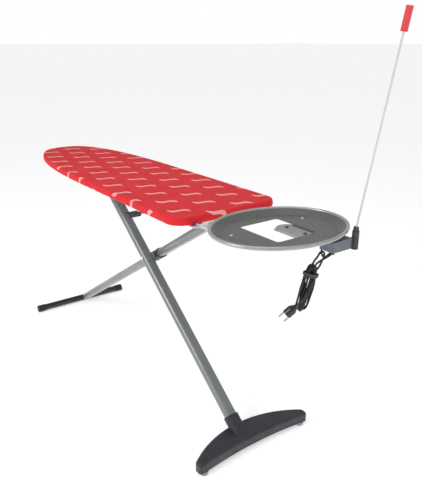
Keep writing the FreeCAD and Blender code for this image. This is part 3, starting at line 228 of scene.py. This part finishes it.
def sum_node(tree, operation, first, second=None, third=None, clamp=False):
    """A Math node whose inputs are sockets or plain numbers; returns its result socket."""
    node = tree.nodes.new("ShaderNodeMath")
    node.operation = operation
    node.use_clamp = clamp
    for index, value in enumerate((first, second, third)):
        if value is None:
            continue
        if isinstance(value, (int, float)):
            node.inputs[index].default_value = value
        else:
            tree.links.new(value, node.inputs[index])
    return node.outputs[0]


# %% The mottle, grain and wear groups
COLOR, FLOAT, VECTOR = "NodeSocketColor", "NodeSocketFloat", "NodeSocketVector"


def noise_node(tree, place, scale, detail=4.0, rough=0.6):
    """A Noise Texture read at a place; returns its value socket."""
    node = tree.nodes.new("ShaderNodeTexNoise")
    node.inputs["Detail"].default_value = detail
    node.inputs["Roughness"].default_value = rough
    tree.links.new(place, node.inputs["Vector"])
    if isinstance(scale, (int, float)):
        node.inputs["Scale"].default_value = scale
    else:
        tree.links.new(scale, node.inputs["Scale"])
    return node.outputs["Fac"]


def mix_color(tree, amount, first, second):
    """Mix two colours, each a socket or a plain colour; returns the result socket."""
    node = tree.nodes.new("ShaderNodeMix")
    node.data_type = "RGBA"
    for socket, value in ((node.inputs[0], amount), (node.inputs[6], first), (node.inputs[7], second)):
        if isinstance(value, (int, float, tuple)):
            socket.default_value = value
        else:
            tree.links.new(value, socket)
    return node.outputs[2]


mottle, start, end = new_group(
    "mottle",
    [("Vector", VECTOR, None), ("Tone", COLOR, (0.5, 0.5, 0.5, 1)),
     ("Second tone", COLOR, (0.4, 0.4, 0.4, 1)), ("Scale", FLOAT, 30.0), ("Roughness", FLOAT, 0.5),
     ("Spread", FLOAT, 0.15)],
    [("Color", COLOR), ("Roughness", FLOAT)])
cloud = noise_node(mottle, start.outputs["Vector"], start.outputs["Scale"])
steep = sum_node(mottle, "MULTIPLY_ADD", cloud, 2.6, -0.8, clamp=True)
mottle.links.new(mix_color(mottle, steep, start.outputs["Tone"], start.outputs["Second tone"]),
                 end.inputs["Color"])
centred = sum_node(mottle, "SUBTRACT", steep, 0.5)
shift = sum_node(mottle, "MULTIPLY_ADD", centred, start.outputs["Spread"], start.outputs["Roughness"])
mottle.links.new(shift, end.inputs["Roughness"])

grain, start, end = new_group(
    "grain",
    [("Vector", VECTOR, None), ("Scale", FLOAT, 900.0), ("Depth", FLOAT, 0.1)],
    [("Normal", VECTOR)])
fine = noise_node(grain, start.outputs["Vector"], start.outputs["Scale"], 2.0)
bump = grain.nodes.new("ShaderNodeBump")
bump.inputs["Distance"].default_value = 0.0004
grain.links.new(start.outputs["Depth"], bump.inputs["Strength"])
grain.links.new(fine, bump.inputs["Height"])
grain.links.new(bump.outputs["Normal"], end.inputs["Normal"])

wear, start, end = new_group(
    "wear",
    [("Vector", VECTOR, None), ("Color", COLOR, (0.5, 0.5, 0.5, 1)), ("Bare", COLOR, (0.6, 0.6, 0.6, 1)),
     ("Amount", FLOAT, 0.3)],
    [("Color", COLOR)])
patch = noise_node(wear, start.outputs["Vector"], 45.0, 8.0, 0.72)
limit = sum_node(wear, "MULTIPLY_ADD", start.outputs["Amount"], -0.22, 0.76)
above = sum_node(wear, "SUBTRACT", patch, limit)
spots = sum_node(wear, "MULTIPLY", above, 14.0, clamp=True)
wear.links.new(mix_color(wear, spots, start.outputs["Color"], start.outputs["Bare"]), end.inputs["Color"])

# %% [markdown]
# ## Finishes
# Every finish is a Principled BSDF fed by the groups. Its own colour, gloss and grain make it hammer
# enamel, moulded plastic, nylon, rubber or bare steel.

# %% One function for the plain finishes
def material_start(name):
    """An empty material: its tree, its shader and its Object coordinates."""
    made = bpy.data.materials.new(name)
    made.use_nodes = True
    tree = made.node_tree
    place = tree.nodes.new("ShaderNodeTexCoord").outputs["Object"]
    return made, tree, tree.nodes["Principled BSDF"], place


def use_group(tree, group, **values):
    """Place a group in a material and set or link its inputs; underscores stand for spaces."""
    node = tree.nodes.new("ShaderNodeGroup")
    node.node_tree = group
    for label, value in values.items():
        socket = node.inputs[label.replace("_", " ")]
        if isinstance(value, bpy.types.NodeSocket):
            tree.links.new(value, socket)
        else:
            socket.default_value = value
    return node


def finish(name, tone, second, roughness=0.5, metallic=0.0, scale=30.0, spread=0.15, grain_scale=900.0,
           depth=0.15, bare=None, amount=0.3, coat=0.0, stretch=None, specular=0.5):
    """A finish from the mottle and grain groups, with wear where a bare colour is given."""
    made, tree, shader, place = material_start(name)
    if stretch:
        mapping = tree.nodes.new("ShaderNodeMapping")
        mapping.inputs["Scale"].default_value = stretch
        tree.links.new(place, mapping.inputs["Vector"])
        place = mapping.outputs["Vector"]
    tones = use_group(tree, mottle, Vector=place, Tone=(*tone, 1), Second_tone=(*second, 1), Scale=scale,
                      Roughness=roughness, Spread=spread)
    color = tones.outputs["Color"]
    if bare:
        color = use_group(tree, wear, Vector=place, Color=color, Bare=(*bare, 1), Amount=amount).outputs[0]
    tree.links.new(color, shader.inputs["Base Color"])
    tree.links.new(tones.outputs["Roughness"], shader.inputs["Roughness"])
    relief = use_group(tree, grain, Vector=place, Scale=grain_scale, Depth=depth)
    tree.links.new(relief.outputs["Normal"], shader.inputs["Normal"])
    shader.inputs["Metallic"].default_value = metallic
    shader.inputs["Coat Weight"].default_value = coat
    shader.inputs["Specular IOR Level"].default_value = specular
    return made


# %% The finishes of metal, plastic and rubber
BARE = (0.62, 0.63, 0.64)
ALONG = (1, 14, 14)
finishes = {
    "deck paint": finish("deck paint", (0.50, 0.51, 0.52), (0.44, 0.45, 0.46), 0.42, scale=14, bare=BARE,
                         amount=0.1, depth=0.12),
    "zinc": finish("zinc", (0.62, 0.64, 0.66), (0.50, 0.52, 0.55), 0.34, 0.9, scale=60, depth=0.1,
                   grain_scale=1400, stretch=ALONG),
    "leg enamel": finish("leg enamel", (0.27, 0.29, 0.29), (0.23, 0.25, 0.25), 0.34, 0.45, scale=9,
                         grain_scale=1800, depth=0.12, coat=0.25, bare=BARE, amount=0.02),
    "rest enamel": finish("rest enamel", (0.135, 0.145, 0.135), (0.105, 0.112, 0.105), 0.38, 0.3, scale=180,
                          grain_scale=420, depth=0.35, bare=(0.24, 0.25, 0.24), amount=0.06, coat=0.2),
    # The rim has the plate's greenish grey made about three times lighter. Part of that is a lighter grey
    # paint on the rim, and part is a painted highlight for the light along its rounded rolled edge.
    "rim enamel with painted highlight": finish("rim enamel with painted highlight", (0.45, 0.47, 0.46), (0.36, 0.38, 0.37), 0.3, 0.45, scale=26,
                         grain_scale=700, depth=0.15, bare=BARE, amount=0.2, coat=0.3),
    "tongue enamel": finish("tongue enamel", (0.36, 0.37, 0.37), (0.30, 0.31, 0.31), 0.45, 0.2, scale=40,
                            bare=BARE, amount=0.15),
    "dark plastic": finish("dark plastic", (0.055, 0.052, 0.070), (0.040, 0.038, 0.052), 0.5, scale=35,
                           grain_scale=1500, depth=0.3),
    "slate plastic": finish("slate plastic", (0.036, 0.040, 0.050), (0.026, 0.029, 0.037), 0.42, scale=22,
                            grain_scale=1300, depth=0.3, bare=(0.13, 0.14, 0.16), amount=0.12),
    "socket plastic": finish("socket plastic", (0.175, 0.185, 0.225), (0.145, 0.155, 0.190), 0.44, scale=40,
                             grain_scale=1500, depth=0.22),
    "grip plastic": finish("grip plastic", (0.80, 0.045, 0.045), (0.70, 0.034, 0.036), 0.3, scale=40,
                           grain_scale=900, depth=0.1, coat=0.4),
    "nylon": finish("nylon", (0.72, 0.72, 0.69), (0.64, 0.64, 0.61), 0.5, scale=50, depth=0.1),
    "pad rubber": finish("pad rubber", (0.42, 0.43, 0.44), (0.34, 0.35, 0.36), 0.72, scale=60,
                         grain_scale=1100, depth=0.4),
    "cap rubber": finish("cap rubber", (0.018, 0.018, 0.020), (0.010, 0.010, 0.011), 0.6, scale=60,
                         grain_scale=1100, depth=0.4),
    "bar enamel": finish("bar enamel", (0.024, 0.024, 0.027), (0.016, 0.016, 0.018), 0.3, 0.3, scale=12,
                         coat=0.4, bare=(0.30, 0.30, 0.31), amount=0.05),
    "cord rubber": finish("cord rubber", (0.014, 0.014, 0.016), (0.008, 0.008, 0.009), 0.42, scale=90,
                          grain_scale=1600, depth=0.15),
    "plug plastic": finish("plug plastic", (0.016, 0.016, 0.018), (0.010, 0.010, 0.011), 0.24, scale=50,
                           depth=0.06, coat=0.3),
    "nickel": finish("nickel", (0.42, 0.40, 0.36), (0.34, 0.32, 0.28), 0.35, 0.8, scale=120, depth=0.05),
    # The tongue's screw heads are near black. They are black steel, and the dark also stands in for the
    # shade inside the screw holes, so it is partly painted shade.
    "black screw steel as painted hole shade": finish("black screw steel as painted hole shade", (0.055, 0.056, 0.060), (0.035, 0.036, 0.040), 0.36, 0.7, scale=160),
    "wire steel": finish("wire steel", (0.72, 0.73, 0.74), (0.62, 0.63, 0.65), 0.3, 0.4, scale=60,
                         stretch=(20, 20, 1), depth=0.05),
    "felt": finish("felt", (0.66, 0.65, 0.61), (0.55, 0.54, 0.50), 0.95, scale=120, grain_scale=600,
                   depth=0.8),
    "brass": finish("brass", (0.72, 0.52, 0.22), (0.62, 0.44, 0.18), 0.28, 1.0, scale=90, depth=0.05),
}

# %% Give each metal, plastic or rubber part its finish
wearers = {
    "deck paint": "deck_panel cross_brace_1 cross_brace_2 cross_brace_3 cross_brace_4 "
                  "rest_arm_near rest_arm_far",
    "zinc": "rail_near rail_far return_spring arm_bolts rest_rivets hinge_axle pivot_bolt pivot_nut "
            "slide_pin keeper_rod keeper_bar release_lever",
    "leg enamel": "leg_a_tube leg_b_tube",
    "rest enamel": "rest_plate",
    "rim enamel with painted highlight": "rest_rim",
    "tongue enamel": "socket_tongue",
    "dark plastic": "rod_holder cord_hook hank_tie leg_a_cap leg_b_cap axle_caps pivot_block "
                    "guide_swivel lever_grip",
    "slate plastic": "foot_a foot_a_collar",
    "socket plastic": "socket_strap socket_box socket_lid",
    "grip plastic": "guide_grip",
    "nylon": "rod_clips arm_spacers hinge_spacers slide_rollers pivot_washer",
    "pad rubber": "foot_a_pads",
    "cap rubber": "foot_b_caps",
    "bar enamel": "foot_b_bar",
    "cord rubber": "cord_gland",
    "plug plastic": "plug_body",
    "nickel": "plug_pins",
    "black screw steel as painted hole shade": "tongue_screws",
    "wire steel": "guide_rod",
    "felt": "felt_pad",
    "brass": "socket_contacts",
}


def paint(piece, material):
    """Give a piece one material all over."""
    piece.data.materials.clear()
    piece.data.materials.append(material)


for label, names in wearers.items():
    for name in names.split():
        paint(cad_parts[name], finishes[label])
paint(mains_lead, finishes["cord rubber"])
bare_nodes = set(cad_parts) - set(" ".join(wearers.values()).split())
print("parts still without a finish:", sorted(bare_nodes))

# %% [markdown]
# ## The printed cover
# The cover is a piece of cotton cut a hand wider than the board, drawn tight over the felt and turned
# under all round by the elastic in its hem. A grid is laid out ring by ring from the board's middle
# line to its edge, then over the rounded edge, down the side and under. Low soft waves come from
# noise, and the small gathers that the elastic makes grow towards the hem.

# %% Outline of the board
BOARD_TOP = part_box("cover")[1].z
BOARD_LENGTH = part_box("cover")[1].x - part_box("cover")[0].x
BOARD_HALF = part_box("cover")[1].y
NOSE_TAPER, BUTT_RADIUS = 0.656, 0.049
NOSE_POWER_ALONG, NOSE_POWER_ACROSS = 2.32, 2.75
TIP = BUTT - BOARD_LENGTH
EDGE_STEPS = 420


def edge_point(share):
    """A point of the outline: share runs 0 to 1 from the nose's tip along one side to the square end."""
    nose, side, corner = 0.62, 0.90, 0.96
    if share < nose:
        along = (share / nose) ** 2
        across = BOARD_HALF * (1 - (1 - along) ** NOSE_POWER_ALONG) ** (1 / NOSE_POWER_ACROSS)
        return TIP + NOSE_TAPER * along, across
    if share < side:
        step = (share - nose) / (side - nose)
        return TIP + NOSE_TAPER + step * (BUTT - BUTT_RADIUS - TIP - NOSE_TAPER), BOARD_HALF
    if share < corner:
        turn = (share - side) / (corner - side) * math.pi / 2
        return BUTT - BUTT_RADIUS * (1 - math.sin(turn)), BOARD_HALF - BUTT_RADIUS * (1 - math.cos(turn))
    step = (share - corner) / (1 - corner)
    return BUTT, (BOARD_HALF - BUTT_RADIUS) * (1 - step)


rim_line = []
for index in range(EDGE_STEPS):
    turn = index / EDGE_STEPS * 2
    x, y = edge_point(turn if turn <= 1 else 2 - turn)
    rim_line.append(Vector((x, y if turn <= 1 else -y)))
rim_normal = []
for index, place in enumerate(rim_line):
    ahead = rim_line[(index + 1) % EDGE_STEPS] - rim_line[index - 1]
    rim_normal.append(Vector((-ahead.y, ahead.x)).normalized())
print("outline of", len(rim_line), "points; first normal", rim_normal[0])

# %% Section of the cover's edge
EDGE_STEPS_ROUND = 6
RINGS = 26
BROAD_WAVE, FINE_WAVE = 0.0011, 0.0004
MIDDLE_FROM_NOSE, MIDDLE_FROM_BUTT = 0.10, 0.15
TURN_IN, TURN_UP, TURN_CLOTH = 0.0012, 0.0008, 0.0006


def edge_section(rounding, skirt, under, bulge):
    """Steps over an edge: each is (out from the outline, drop below the top, cloth used since it)."""
    steps = []
    for index in range(EDGE_STEPS_ROUND + 1):
        turn = index / EDGE_STEPS_ROUND * math.pi / 2
        steps.append((-rounding * (1 - math.sin(turn)), rounding * (1 - math.cos(turn)),
                      rounding * (turn - 1)))
    used = steps[-1][2]
    for share in (0.25, 0.5, 0.75):
        drop = rounding + (skirt - rounding) * share
        steps.append((bulge * math.sin(math.pi * share), drop, used + drop - rounding))
    used += skirt - rounding
    steps.append((-TURN_IN, skirt - TURN_UP, used - TURN_CLOTH))
    for share in (0.25, 0.5, 0.75, 1):
        steps.append((-under * share, skirt, used + under * share))
    return steps


def ring_grid(name, inset, top, rings, section, waves, gathers):
    """A sheet laid ring by ring over the board's plan, then along a section over its edge.

    The cloth's flat place goes into a UV map, in metres, so that a print or weave keeps its scale.
    """
    rows = rings + len(section)
    bpy.ops.object.select_all(action="DESELECT")
    bpy.ops.mesh.primitive_grid_add(x_subdivisions=EDGE_STEPS, y_subdivisions=rows - 1, size=1)
    sheet = bpy.context.object
    sheet.name = name
    flats = []
    for vertex in sheet.data.vertices:
        column = round((vertex.co.x + 0.5) * EDGE_STEPS) % EDGE_STEPS
        row = round((vertex.co.y + 0.5) * (rows - 1))
        normal = rim_normal[column]
        rim = rim_line[column] - normal * inset
        inner = Vector((min(max(rim.x, TIP + MIDDLE_FROM_NOSE), BUTT - MIDDLE_FROM_BUTT), 0))
        if row < rings:
            flat = inner.lerp(rim + normal * section[0][0], row / rings)
            wave = noise.noise(Vector((flat.x * 7, flat.y * 11, 0.3))) * BROAD_WAVE
            wave += noise.noise(Vector((flat.x * 26, flat.y * 26, 4.7))) * FINE_WAVE
            vertex.co = (flat.x, flat.y, top + wave * waves)
            flats.append(flat)
            continue
        offset, drop, used = section[row - rings]
        gather = noise.noise(Vector((rim.x * 55, rim.y * 55, 1.1))) * gathers
        gather *= 0.08 + min(1, max(0, (drop - section[EDGE_STEPS_ROUND][1]) / 0.01))
        flat = rim + normal * (offset + gather)
        vertex.co = (flat.x, flat.y, top - drop)
        flats.append(rim + normal * used)
    cloth_map = sheet.data.uv_layers.active or sheet.data.uv_layers.new(name="cloth")
    cloth_map.name = "cloth"
    for loop in sheet.data.loops:
        cloth_map.data[loop.index].uv = flats[loop.vertex_index]
    bpy.ops.object.mode_set(mode="EDIT")
    bpy.ops.mesh.select_all(action="SELECT")
    bpy.ops.mesh.remove_doubles(threshold=0.00005)
    bpy.ops.mesh.normals_make_consistent(inside=False)
    bpy.ops.object.mode_set(mode="OBJECT")
    return sheet


# %% Lay the cotton over the board
COTTON_RISE, COTTON_ROUNDING, COTTON_SKIRT = 0.0012, 0.006, 0.0235
COTTON_HEM, COTTON_BULGE, COTTON_GATHER, COTTON_THICKNESS = 0.020, 0.0012, 0.0014, 0.0008
cotton = ring_grid("printed_cover", 0, BOARD_TOP + COTTON_RISE, RINGS,
                   edge_section(COTTON_ROUNDING, COTTON_SKIRT, COTTON_HEM, COTTON_BULGE), 1,
                   COTTON_GATHER)
cloth_area = sum(face.area for face in cotton.data.polygons)
thickness = cotton.modifiers.new("thickness", "SOLIDIFY")
thickness.thickness = COTTON_THICKNESS
thickness.offset = -1
bpy.ops.object.modifier_apply(modifier=thickness.name)
bpy.ops.object.shade_smooth()
print("the cover uses", round(cloth_area, 4), "square metres of cotton")

# %% [markdown]
# The felt under the cotton gives the edge its softness. It is the same lay-out, smaller, and closed
# below by filling the last ring.

# %% The felt
FELT_DROP, FELT_INSET, FELT_DEPTH = 0.0012, 0.0016, 0.0045
FELT_ROUNDING, FELT_UNDER = 0.0035, 0.008
felt = ring_grid("felt_underlay", FELT_INSET, BOARD_TOP - FELT_DROP, RINGS,
                 edge_section(FELT_ROUNDING, FELT_DEPTH, FELT_UNDER, 0), 0.5, 0)
bpy.ops.object.mode_set(mode="EDIT")
bpy.ops.mesh.select_mode(type="EDGE")
bpy.ops.mesh.select_all(action="DESELECT")
bpy.ops.mesh.select_non_manifold(extend=False, use_boundary=True, use_wire=False, use_multi_face=False,
                                 use_non_contiguous=False, use_verts=False)
bpy.ops.mesh.edge_face_add()
bpy.ops.mesh.quads_convert_to_tris()
bpy.ops.mesh.normals_make_consistent(inside=False)
bpy.ops.object.mode_set(mode="OBJECT")
bpy.ops.object.shade_smooth()
paint(felt, finishes["felt"])
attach(felt, "board")
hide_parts("felt_pad")

# %% [markdown]
# The print is a scatter of short wavy ribbons. The cloth is divided into staggered cells, and each
# cell draws one ribbon: a sine line with a half width that shrinks to nothing at both ends. The cloth's
# own UV map is in metres, so the print wraps over the edge as real print does.

# %% Material of the printed cotton
RIBBON_HALF_LENGTH, RIBBON_HALF_WIDTH, RIBBON_BLUNTNESS = 0.037, 0.0085, 5.0
RIBBON_SWING, RIBBON_BEAT, RIBBON_SLANT = 0.0085, 92.0, 50
RIBBON_PITCH_ALONG, RIBBON_PITCH_ACROSS, RIBBON_STAGGER = 0.112, 0.094, 0.43


def printed_cotton():
    """Red cotton with pale ribbons, a fine weave and a soft, dull surface."""
    made, tree, shader, _ = material_start("printed cotton")
    flat = tree.nodes.new("ShaderNodeUVMap")
    flat.uv_map = "cloth"
    turned = tree.nodes.new("ShaderNodeMapping")
    turned.inputs["Rotation"].default_value = (0, 0, math.radians(-RIBBON_SLANT))
    tree.links.new(flat.outputs["UV"], turned.inputs["Vector"])
    parts = tree.nodes.new("ShaderNodeSeparateXYZ")
    tree.links.new(turned.outputs["Vector"], parts.inputs[0])
    along, across = parts.outputs["X"], parts.outputs["Y"]

    def ribbons(pitch_x, pitch_y, slide_x, slide_y):
        """Mask of one family of ribbons, one in each staggered cell."""
        row = sum_node(tree, "MULTIPLY_ADD", across, 1 / pitch_y, slide_y)
        stagger = sum_node(tree, "MULTIPLY", sum_node(tree, "FLOOR", row), RIBBON_STAGGER)
        column = sum_node(tree, "MULTIPLY_ADD", along, 1 / pitch_x, slide_x)
        column = sum_node(tree, "ADD", column, stagger)
        in_column = sum_node(tree, "SUBTRACT", sum_node(tree, "FRACT", column), 0.5)
        in_row = sum_node(tree, "SUBTRACT", sum_node(tree, "FRACT", row), 0.5)
        x = sum_node(tree, "MULTIPLY", in_column, pitch_x)
        y = sum_node(tree, "MULTIPLY", in_row, pitch_y)
        line = sum_node(tree, "MULTIPLY", sum_node(tree, "SINE", sum_node(tree, "MULTIPLY", x, RIBBON_BEAT)),
                        RIBBON_SWING)
        away = sum_node(tree, "ABSOLUTE", sum_node(tree, "SUBTRACT", y, line))
        share = sum_node(tree, "DIVIDE", sum_node(tree, "ABSOLUTE", x), RIBBON_HALF_LENGTH)
        blunt = sum_node(tree, "POWER", share, RIBBON_BLUNTNESS)
        width = sum_node(tree, "MULTIPLY", sum_node(tree, "SUBTRACT", 1.0, blunt), RIBBON_HALF_WIDTH)
        inside = sum_node(tree, "SUBTRACT", width, away)
        return sum_node(tree, "MULTIPLY", inside, 700.0, clamp=True)

    print_mask = ribbons(RIBBON_PITCH_ALONG, RIBBON_PITCH_ACROSS, 0.20, 0.10)
    faded = sum_node(tree, "MULTIPLY", print_mask, 0.92)
    ground = use_group(tree, mottle, Vector=flat.outputs["UV"], Tone=(0.800, 0.034, 0.042, 1),
                       Second_tone=(0.700, 0.024, 0.032, 1), Scale=16.0, Roughness=0.82, Spread=0.08)
    color = mix_color(tree, faded, ground.outputs["Color"], (0.93, 0.46, 0.44, 1))

    def thread(direction):
        """Threads of the weave in one direction; returns the wave's socket."""
        wave = tree.nodes.new("ShaderNodeTexWave")
        wave.bands_direction = direction
        wave.inputs["Scale"].default_value = 320.0
        wave.inputs["Distortion"].default_value = 0.6
        tree.links.new(flat.outputs["UV"], wave.inputs["Vector"])
        return wave.outputs["Fac"]

    weave = sum_node(tree, "MAXIMUM", thread("X"), thread("Y"))
    darker = sum_node(tree, "MULTIPLY_ADD", weave, 0.16, 0.86)
    shade = tree.nodes.new("ShaderNodeVectorMath")
    shade.operation = "SCALE"
    tree.links.new(color, shade.inputs[0])
    tree.links.new(darker, shade.inputs["Scale"])
    tree.links.new(shade.outputs[0], shader.inputs["Base Color"])
    tree.links.new(ground.outputs["Roughness"], shader.inputs["Roughness"])
    bump = tree.nodes.new("ShaderNodeBump")
    bump.inputs["Strength"].default_value = 0.35
    bump.inputs["Distance"].default_value = 0.0003
    tree.links.new(weave, bump.inputs["Height"])
    tree.links.new(bump.outputs["Normal"], shader.inputs["Normal"])
    shader.inputs["Sheen Weight"].default_value = 0.05
    shader.inputs["Sheen Roughness"].default_value = 0.5
    shader.inputs["Specular IOR Level"].default_value = 0.12
    return made


paint(cotton, printed_cotton())
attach(cotton, "board")
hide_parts("cover")

# %% [markdown]
# ## Check and finish
# Every part that is shown should have a finish, so any part still without one is named.
# The visual model has to stay inside the CAD model's box.

# %% Parts left without a finish
for name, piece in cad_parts.items():
    if not piece.hide_render and not piece.data.materials:
        print("no finish on", name)
